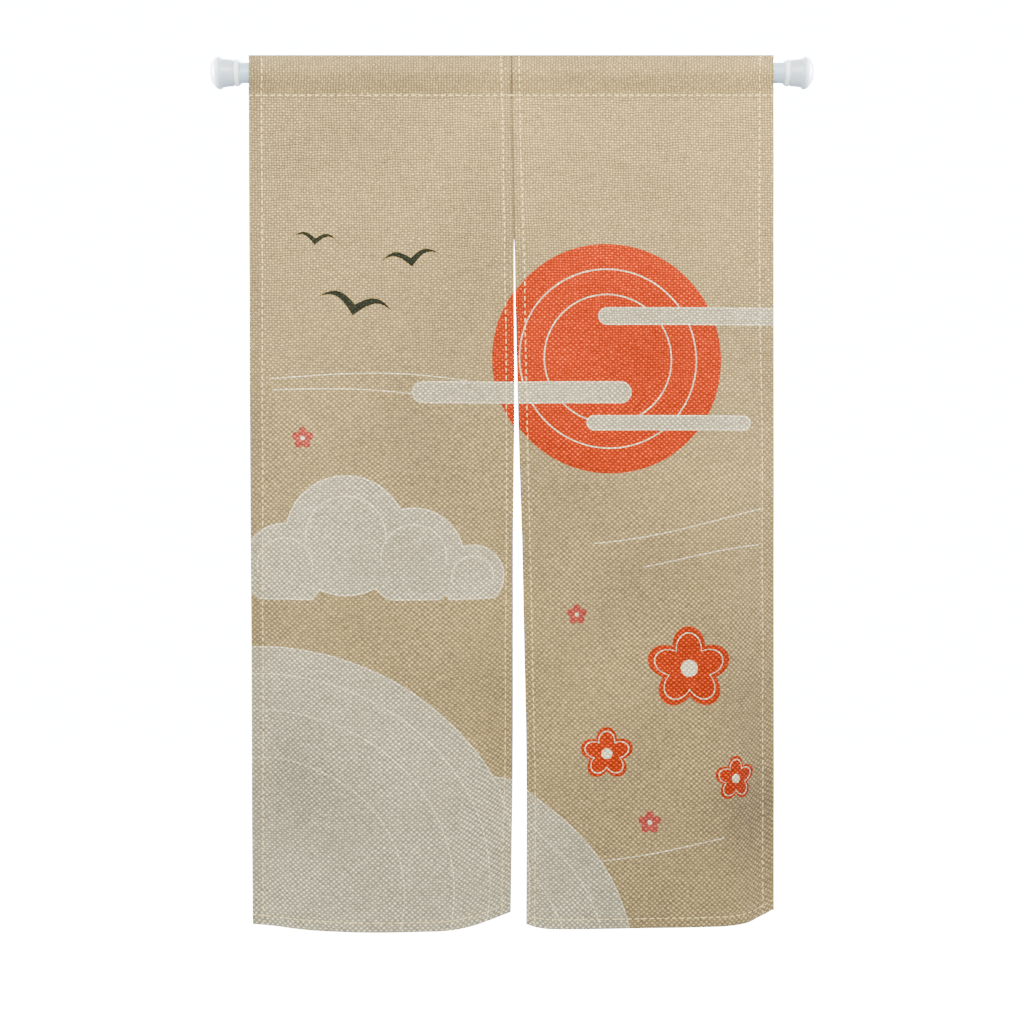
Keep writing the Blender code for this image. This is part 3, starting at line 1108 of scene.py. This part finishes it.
def build_mottle_and_fold_shade_group():
    """Cloudy, slightly stained tone, like old paper, with wide soft patches of painted shade where the folds
    turn from the light.
    """
    tree, given, result = new_group("aged_mottle_and_fold_shade", (("Place", "Vector"),), (("Tone", "Float"),))
    place = given["Place"]
    broad = noise_field(tree, place, 3.6, 1.0) * 0.58
    patches = noise_field(tree, place, 9.0, 1.0) * 0.22
    tone = broad + patches + 1.0
    u, v, _ = split_place(tree, place)
    # Painted shade where the folds turn from the light
    for fold_shade in FOLD_SHADES:
        away = reach_from(u, v * -1.0, fold_shade) / fold_shade.reach
        tone = tone - (away * away * -1.0).math("EXPONENT") * fold_shade.depth
    plug(tree, tone, result["Tone"])
    return tree


# Materials


def new_material(name):
    material = bpy.data.materials.new(name)
    material.use_nodes = True
    tree = material.node_tree
    return material, tree, tree.nodes["Principled BSDF"]


def set_bump(tree, shader, height, distance):
    bump = add_node(tree, "ShaderNodeBump", Strength=1.0, Distance=distance, Height=height)
    feed(tree, shader, Normal=bump.outputs[0])


BACK_PRINT_SHARE = 0.42
BACK_CLOTH = (0.350, 0.275, 0.150, 1.0)
ENAMEL_WHITE = (0.41, 0.56, 0.67, 1.0)
PLASTIC_WHITE = (0.49, 0.57, 0.65, 1.0)
# Painted highlights: lighter bands on the end caps' collar and flare
COLLAR_HIGHLIGHT_WHITE = (0.92, 0.98, 1.00, 1.0)
FLARE_HIGHLIGHT_WHITE = (0.80, 0.87, 1.00, 1.0)
THREAD_CREAM = (1.000, 0.740, 0.260, 1.0)
THREAD_TWIST = 0.0016


def build_cloth_material(name, print_share, groups):
    """Printed plain-weave cloth. On its back the ink shows through more weakly, but for the turned hems."""
    material, tree, shader = new_material(name)
    place = add_node(tree, "ShaderNodeUVMap", settings={"uv_map": "ClothFlat"}).outputs[0]
    weave = place_group(tree, groups["weave"], Place=place, Yarn_across=WARP_PITCH, Yarn_along=WEFT_PITCH)
    ink = place_group(tree, groups["print"], Place=place)["Color"]
    mottle_and_fold_shade = Field(tree, place_group(tree, groups["mottle_and_fold_shade"], Place=place)["Tone"])
    if print_share < 1.0:
        folded = Field(tree, stored_values(tree, "hem_fold")["Fac"])
        ink = mix_colour(tree, folded * (1.0 - print_share) + print_share, BACK_CLOTH, ink)
    shade = Field(tree, stored_values(tree, "painted_edge_shade")["Fac"])
    # Painted shade: the cloth is painted darker in its narrow folds, and the weave's light and dark is weaker
    # there
    yarns = (Field(tree, weave["Tone"]) - WEAVE_LEVEL) * (shade * -0.60 + 1.0) + WEAVE_LEVEL
    tone = yarns * mottle_and_fold_shade * (shade * -0.80 + 1.0)
    feed(
        tree, shader, Base_Color=shade_cloth(tree, ink, tone),
        Roughness=Field(tree, weave["Height"]) * -0.08 + 0.93,
        Specular_IOR_Level=0.10, Sheen_Weight=0.05, Sheen_Roughness=0.5,
    )
    set_bump(tree, shader, weave["Height"], 0.0009)
    return material


def build_thread_material():
    """Two-ply cotton thread. The twist winds around each stitch."""
    material, tree, shader = new_material("sewing_thread")
    place = stored_values(tree, "thread_place")["Vector"]
    x, y, z = split_place(tree, place)
    twist = (y.math("ARCTAN2", x) * 2.0 + z * (math.tau / THREAD_TWIST)).sine()
    fibres = noise_field(tree, place, 2600.0, 2.0)
    # The thread is painted lighter on the twist's crests and darker in its grooves, as painted light and
    # shade; the fibres vary its own colour
    feed(
        tree, shader, Base_Color=scale_colour(tree, THREAD_CREAM, twist * 0.07 + fibres * 0.14 + 1.0),
        Roughness=fibres * 0.2 + 0.5, Specular_IOR_Level=0.75, Sheen_Weight=0.15,
    )
    set_bump(tree, shader, twist * 0.5 + fibres * 0.4, 0.00018)
    return material


def build_surface_group():
    """Faint handling marks on a smooth finish: a cloudy tone, a soft scuff mask and a fine grain."""
    tree, given, result = new_group(
        "handled_surface",
        (("Place", "Vector"), ("Grain density", "Float")),
        (("Tone", "Float"), ("Scuff", "Float"), ("Grain", "Float")),
    )
    place = given["Place"]
    stretch = add_node(tree, "ShaderNodeMapping", place, Scale=(9.0, 60.0, 60.0)).outputs[0]
    fine = add_node(tree, "ShaderNodeTexNoise", Vector=place, Scale=given["Grain density"])
    plug(tree, noise_field(tree, place, 38.0, 3.0) * 0.05 + 1.0, result["Tone"])
    plug(tree, (noise_field(tree, stretch, 9.0, 4.0, 0.7) * 3.0 - 0.45).unit(), result["Scuff"])
    plug(tree, fine.outputs[0], result["Grain"])
    return tree


def build_hard_material(name, colour, roughness, grain_size, grain_depth, groups, rings=()):
    """A smooth finish. Rings of (start, end, colour) are painted highlights: lighter bands, by their distance
    from the middle.
    """
    material, tree, shader = new_material(name)
    place = tree.nodes.new("ShaderNodeTexCoord").outputs["Object"]
    marks = place_group(tree, groups["surface"], Place=place, Grain_density=1.0 / grain_size)
    along = split_place(tree, place)[0].size()
    for start, end, highlight_colour in rings:
        highlight_band = soft_mask(larger(along * -1.0 + start, along - end))
        colour = mix_colour(tree, highlight_band, colour, highlight_colour)
    scuff = Field(tree, marks["Scuff"])
    tone = Field(tree, marks["Tone"]) - scuff * 0.05
    feed(tree, shader, Base_Color=scale_colour(tree, colour, tone), Roughness=scuff * 0.18 + roughness)
    set_bump(tree, shader, marks["Grain"], grain_depth)
    return material


# Studio

SEEN_WHITE = 20.0
MIRRORED_WHITE = 8.0
FILL_LIGHT = 0.24
COOL_LIGHT = (0.90, 0.98, 1.05)
WARM_LIGHT = (1.0, 0.95, 0.78)
BLUE_LIGHT = (0.86, 0.92, 1.0)

Light = namedtuple("Light", "name place target size energy colour")
LIGHTS = table(
    Light,
    ("soft_key", (-0.6, -2.9, 0.3), (0.0, 0.0, -0.4), (2.4, 1.6), 92.0, COOL_LIGHT),
    ("top_wash", (0.14, -1.25, 0.45), (0.0, 0.0, -0.05), (2.0, 0.5), 54.0, WARM_LIGHT),
    ("left_end", (-1.1, 0.02, 0.10), (-0.484, 0.0, 0.0), (0.4, 0.4), 38.0, BLUE_LIGHT),
    ("right_end", (1.1, 0.02, 0.10), (0.484, 0.0, 0.0), (0.4, 0.4), 38.0, BLUE_LIGHT),
    ("rim_light", (0.0, 0.9, 0.9), (0.0, 0.0, 0.0), (2.0, 0.4), 130.0, COOL_LIGHT),
    ("back_light", (0.3, 2.6, 1.2), (0.0, 0.0, -0.5), (2.4, 1.6), 90.0, COOL_LIGHT),
)


def add_light(light):
    data = bpy.data.lights.new(light.name, "AREA")
    data.shape = "RECTANGLE"
    data.size, data.size_y = light.size
    data.energy = light.energy
    data.color = light.colour
    lamp = link_object(light.name, data)
    lamp.location = light.place
    towards = Vector(light.target) - Vector(light.place)
    lamp.rotation_euler = towards.to_track_quat("-Z", "Y").to_euler()


def build_world():
    """A bright white behind the object and in its gloss, and a weaker even light from all around it."""
    world = bpy.data.worlds.new("white_studio")
    bpy.context.scene.world = world
    world.use_nodes = True
    tree = world.node_tree
    tree.nodes.clear()
    seen = tree.nodes.new("ShaderNodeLightPath").outputs
    behind = Field(tree, seen["Is Camera Ray"]) * (SEEN_WHITE - FILL_LIGHT)
    mirrored = Field(tree, seen["Is Glossy Ray"]) * (MIRRORED_WHITE - FILL_LIGHT)
    strength = behind + mirrored + FILL_LIGHT
    around = add_node(tree, "ShaderNodeBackground", Color=(0.90, 0.97, 1.05, 1.0), Strength=strength)
    add_node(tree, "ShaderNodeOutputWorld", Surface=around.outputs[0])


def build_floor():
    bm = bmesh.new()
    bmesh.ops.create_grid(bm, x_segments=1, y_segments=1, size=6.0)
    bmesh.ops.translate(bm, verts=bm.verts, vec=(0.0, 0.0, FLOOR_HEIGHT))
    mesh = mesh_from(bm, "studio_floor")
    floor = link_object("studio_floor", mesh)
    material, tree, shader = new_material("pale_floor")
    feed(tree, shader, Base_Color=(0.80, 0.80, 0.80, 1.0), Roughness=0.9)
    glow = add_node(tree, "ShaderNodeEmission", Strength=SEEN_WHITE)
    seen = tree.nodes.new("ShaderNodeLightPath").outputs["Is Camera Ray"]
    mix = add_node(tree, "ShaderNodeMixShader", seen, shader.outputs[0], glow.outputs[0])
    feed(tree, tree.nodes["Material Output"], Surface=mix.outputs[0])
    mesh.materials.append(material)


def build_camera():
    data = bpy.data.cameras.new("front_view")
    data.lens = CAMERA_LENS
    data.sensor_width = SENSOR_WIDTH
    camera = link_object("front_view", data)
    camera.location = CAMERA_PLACE
    camera.rotation_euler = (math.pi / 2.0, 0.0, 0.0)
    bpy.context.scene.camera = camera


def build_studio():
    build_camera()
    build_world()
    build_floor()
    for light in LIGHTS:
        add_light(light)


def build_object():
    groups = {
        "weave": build_weave_group(),
        "print": build_print_group(),
        "mottle_and_fold_shade": build_mottle_and_fold_shade_group(),
        "surface": build_surface_group(),
    }
    cloth_front = build_cloth_material("printed_cloth_front", 1.0, groups)
    cloth_back = build_cloth_material("printed_cloth_back", BACK_PRINT_SHARE, groups)
    thread = build_thread_material()
    enamel = build_hard_material("white_enamel_finish", ENAMEL_WHITE, 0.28, 0.0016, 0.00002, groups)
    # The plastic's lighter rings at the collar and the flare are painted highlights
    plastic = build_hard_material(
        "white_plastic_finish", PLASTIC_WHITE, 0.26, 0.0007, 0.00003, groups,
        rings=((0.4470, 0.4534, COLLAR_HIGHLIGHT_WHITE), (0.4780, 0.4900, FLARE_HIGHLIGHT_WHITE)),
    )

    tube = build_tube(enamel)
    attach(tube, "root")
    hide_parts("rod_tube")
    for side_name, side in (("left", -1), ("right", 1)):
        cap = build_cap(side_name, side, plastic)
        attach(cap, "root")
        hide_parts(f"rod_end_{side_name}")

    tree = build_stitch_tree()
    for seed, panel in enumerate(PANELS):
        sheet = Sheet(panel)
        cloth = build_cloth(sheet, cloth_front, cloth_back)
        stitching = build_stitching(sheet, tree, thread, seed)
        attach(cloth, "root")
        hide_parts(panel.node)
        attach(stitching, "root")
        cut_width = sheet.width + panel.left_hem + panel.right_hem + 2.0 * HEM_TUCK
        cut_length = sheet.full_run - sheet.tail_run + BOTTOM_HEM + 2.0 * HEM_TUCK


build_studio()
build_object()
